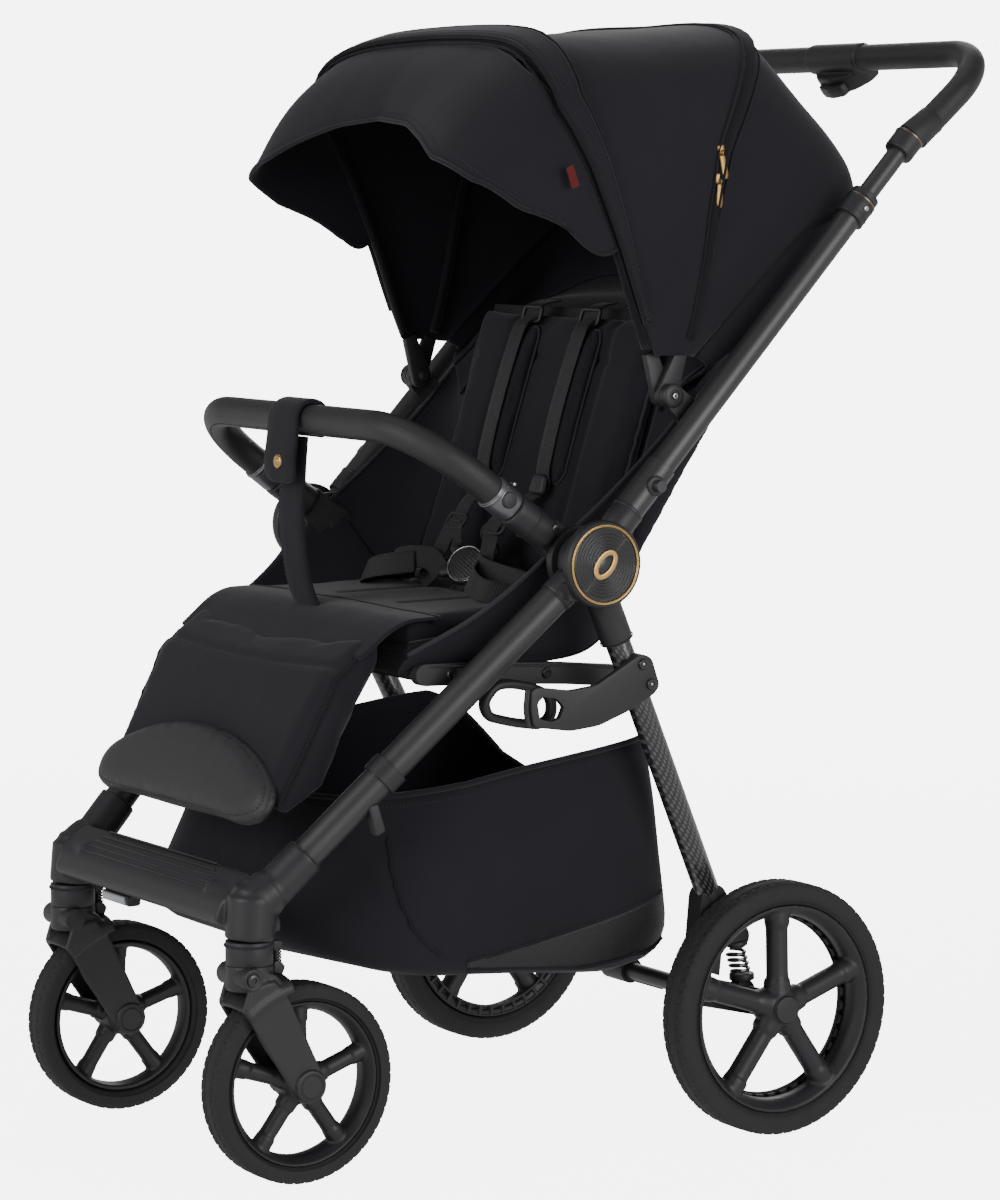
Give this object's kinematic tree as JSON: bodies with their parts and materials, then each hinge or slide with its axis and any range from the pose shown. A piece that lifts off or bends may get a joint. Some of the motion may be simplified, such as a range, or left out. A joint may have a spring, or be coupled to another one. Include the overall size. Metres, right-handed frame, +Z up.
{
  "type": "baby stroller",
  "caption": "Folding full-size stroller with canopy, reclining seat, bumper bar, calf rest, basket, telescopic handle and suspended wheels.",
  "frame": {"origin": "on the ground, under the middle of the bounding box", "axes": "+X to the child's left, +Y to the rear, +Z up"},
  "size_m": [0.601, 0.9358, 1.156],
  "materials": {
    "frame_tube": "satin anthracite powder coat",
    "plastic": "fine matt texture",
    "wheel_plastic": "fine matt texture",
    "carbon": "glossy twill carbon look",
    "gold": "brushed gold",
    "bronze": "satin bronze",
    "fabric": "dense woven polyester",
    "webbing": "ribbed webbing",
    "leatherette": "fine-grained leatherette with stitching",
    "steel": "satin steel",
    "tyre": "matt rubber",
    "reflector": "clear prismatic plastic"
  },
  "bodies": {
    "chassis": {"front_legs": "frame_tube", "footrest": "plastic", "reflector": "reflector", "hub_housings": "plastic", "hub_covers": "carbon", "hub_rings": "gold", "seat_rails": "plastic", "seat_pad": "fabric", "basket": "fabric", "basket_clips": "plastic", "carry_loop": "plastic", "bumper_strap": "webbing"},
    "upper_frame": {"upper_tubes": "frame_tube", "upper_collars": "bronze", "canopy_brackets": "plastic", "canopy_rear_panel": "fabric", "buckle": "plastic", "harness_straps": "webbing"},
    "buckle_button": {"buckle_button": "carbon"},
    "handle": {"handle_tubes": "frame_tube", "handle_grip": "leatherette", "handle_collars": "bronze", "release_housing": "plastic"},
    "release_trigger": {"release_trigger": "plastic"},
    "canopy_mid": {"canopy_mid_bow": "plastic"},
    "canopy_front": {"canopy_front_bow": "plastic", "canopy_front_panel": "fabric", "canopy_visor": "fabric"},
    "backrest": {"backrest_board": "plastic", "backrest_cushion": "fabric", "back_cover": "fabric", "shoulder_pads": "webbing"},
    "bumper": {"bumper_bar": "leatherette", "bumper_ends": "plastic"},
    "bumper_button_left": {"bumper_button_left": "steel"},
    "bumper_button_right": {"bumper_button_right": "steel"},
    "calf_rest": {"calf_rest": "fabric", "foot_pad": "leatherette"},
    "rear_frame": {"rear_legs": "carbon", "rear_sleeves": "plastic", "rear_brackets": "plastic", "rear_axle": "frame_tube", "hook_plates": "plastic", "rear_spring_left": "steel", "rear_spring_right": "steel"},
    "brake_pedal": {"brake_pedal": "plastic"},
    "rear_arm_left": {"rear_arm_left": "plastic"},
    "rear_wheel_left": {"rear_tyre_left": "tyre", "rear_rim_left": "wheel_plastic"},
    "front_swivel_left": {"front_swivel_left": "frame_tube"},
    "front_fork_left": {"front_fork_left": "plastic"},
    "front_wheel_left": {"front_tyre_left": "tyre", "front_rim_left": "wheel_plastic"},
    "rear_arm_right": {"rear_arm_right": "plastic"},
    "rear_wheel_right": {"rear_tyre_right": "tyre", "rear_rim_right": "wheel_plastic"},
    "front_swivel_right": {"front_swivel_right": "frame_tube"},
    "front_fork_right": {"front_fork_right": "plastic"},
    "front_wheel_right": {"front_tyre_right": "tyre", "front_rim_right": "wheel_plastic"}
  },
  "joints": [
    {"name": "frame_fold", "type": "hinge", "parent": "chassis", "child": "upper_frame", "pos_m": [0, -0.07186, 0.609], "axis": [1, 0, 0], "range_deg": [0, 120]},
    {"name": "rear_fold", "type": "hinge", "parent": "chassis", "child": "rear_frame", "pos_m": [0, -0.07186, 0.609], "axis": [1, 0, 0], "range_deg": [-32.4, 0]},
    {"name": "bumper_fold", "type": "hinge", "parent": "chassis", "child": "bumper", "pos_m": [0, -0.07186, 0.609], "axis": [1, 0, 0], "range_deg": [0, 45.6], "deforming": ["bumper_strap"]},
    {"name": "canopy_mid_fold", "type": "hinge", "parent": "upper_frame", "child": "canopy_mid", "pos_m": [0, 0.04013, 0.772], "axis": [1, 0, 0], "range_deg": [-36, 0]},
    {"name": "canopy_front_fold", "type": "hinge", "parent": "canopy_mid", "child": "canopy_front", "pos_m": [0, 0.04013, 0.772], "axis": [1, 0, 0], "range_deg": [-36, 0]},
    {"name": "backrest_recline", "type": "hinge", "parent": "upper_frame", "child": "backrest", "pos_m": [0, 0.00713, 0.556], "axis": [1, 0, 0], "range_deg": [-45, 0], "deforming": ["harness_straps"]},
    {"name": "calf_raise", "type": "hinge", "parent": "chassis", "child": "calf_rest", "pos_m": [0, -0.25487, 0.522], "axis": [1, 0, 0], "range_deg": [-50, 0]},
    {"name": "handle_height", "type": "slide", "parent": "upper_frame", "child": "handle", "axis": [0, 0.6871, 0.7266], "range_m": [-0.055, 0.03]},
    {"name": "release_pull", "type": "slide", "parent": "handle", "child": "release_trigger", "axis": [0, 0.766, 0.6428], "range_m": [0, 0.006], "stiffness_N_per_m": 600, "springref_m": -0.004},
    {"name": "buckle_press", "type": "slide", "parent": "upper_frame", "child": "buckle_button", "axis": [0, 0.8829, -0.4695], "range_m": [0, 0.0025], "stiffness_N_per_m": 1500, "springref_m": -0.002},
    {"name": "bumper_release_left", "type": "slide", "parent": "bumper", "child": "bumper_button_left", "axis": [1, 0, 0], "range_m": [0, 0.0035], "stiffness_N_per_m": 600, "springref_m": -0.003},
    {"name": "bumper_release_right", "type": "slide", "parent": "bumper", "child": "bumper_button_right", "axis": [-1, 0, 0], "range_m": [0, 0.0035], "stiffness_N_per_m": 600, "springref_m": -0.003},
    {"name": "brake_press", "type": "hinge", "parent": "rear_frame", "child": "brake_pedal", "pos_m": [0.1, 0.08514, 0.152], "axis": [1, 0, 0], "range_deg": [-22, 0]},
    {"name": "rear_suspension_left", "type": "hinge", "parent": "rear_frame", "child": "rear_arm_left", "pos_m": [0.249, 0.08514, 0.152], "axis": [1, 0, 0], "range_deg": [0, 10], "stiffness_Nm_per_rad": 60, "springref_deg": -4.58, "deforming": ["rear_spring_left"]},
    {"name": "rear_wheel_spin_left", "type": "hinge", "parent": "rear_arm_left", "child": "rear_wheel_left", "pos_m": [0.279, 0.15713, 0.133], "axis": [1, 0, 0], "continuous": true},
    {"name": "front_swivel_turn_left", "type": "hinge", "parent": "chassis", "child": "front_swivel_left", "pos_m": [0.192, -0.41986, 0.26], "axis": [0, 0, 1], "continuous": true},
    {"name": "front_suspension_left", "type": "hinge", "parent": "front_swivel_left", "child": "front_fork_left", "pos_m": [0.192, -0.43086, 0.214], "axis": [1, 0, 0], "range_deg": [0, 8], "stiffness_Nm_per_rad": 60, "springref_deg": -4.58},
    {"name": "front_wheel_spin_left", "type": "hinge", "parent": "front_fork_left", "child": "front_wheel_left", "pos_m": [0.192, -0.36686, 0.101], "axis": [1, 0, 0], "continuous": true},
    {"name": "rear_suspension_right", "type": "hinge", "parent": "rear_frame", "child": "rear_arm_right", "pos_m": [-0.249, 0.08514, 0.152], "axis": [1, 0, 0], "range_deg": [0, 10], "stiffness_Nm_per_rad": 60, "springref_deg": -4.58, "deforming": ["rear_spring_right"]},
    {"name": "rear_wheel_spin_right", "type": "hinge", "parent": "rear_arm_right", "child": "rear_wheel_right", "pos_m": [-0.279, 0.15713, 0.133], "axis": [1, 0, 0], "continuous": true},
    {"name": "front_swivel_turn_right", "type": "hinge", "parent": "chassis", "child": "front_swivel_right", "pos_m": [-0.192, -0.41986, 0.26], "axis": [0, 0, 1], "continuous": true},
    {"name": "front_suspension_right", "type": "hinge", "parent": "front_swivel_right", "child": "front_fork_right", "pos_m": [-0.192, -0.43086, 0.214], "axis": [1, 0, 0], "range_deg": [0, 8], "stiffness_Nm_per_rad": 60, "springref_deg": -4.58},
    {"name": "front_wheel_spin_right", "type": "hinge", "parent": "front_fork_right", "child": "front_wheel_right", "pos_m": [-0.192, -0.36686, 0.101], "axis": [1, 0, 0], "continuous": true}
  ],
  "couplings": [
    {"joint": "rear_fold", "follows": "frame_fold", "ratio": -0.27},
    {"joint": "bumper_fold", "follows": "frame_fold", "ratio": 0.38},
    {"joint": "canopy_mid_fold", "follows": "frame_fold", "ratio": -0.3}
  ]
}
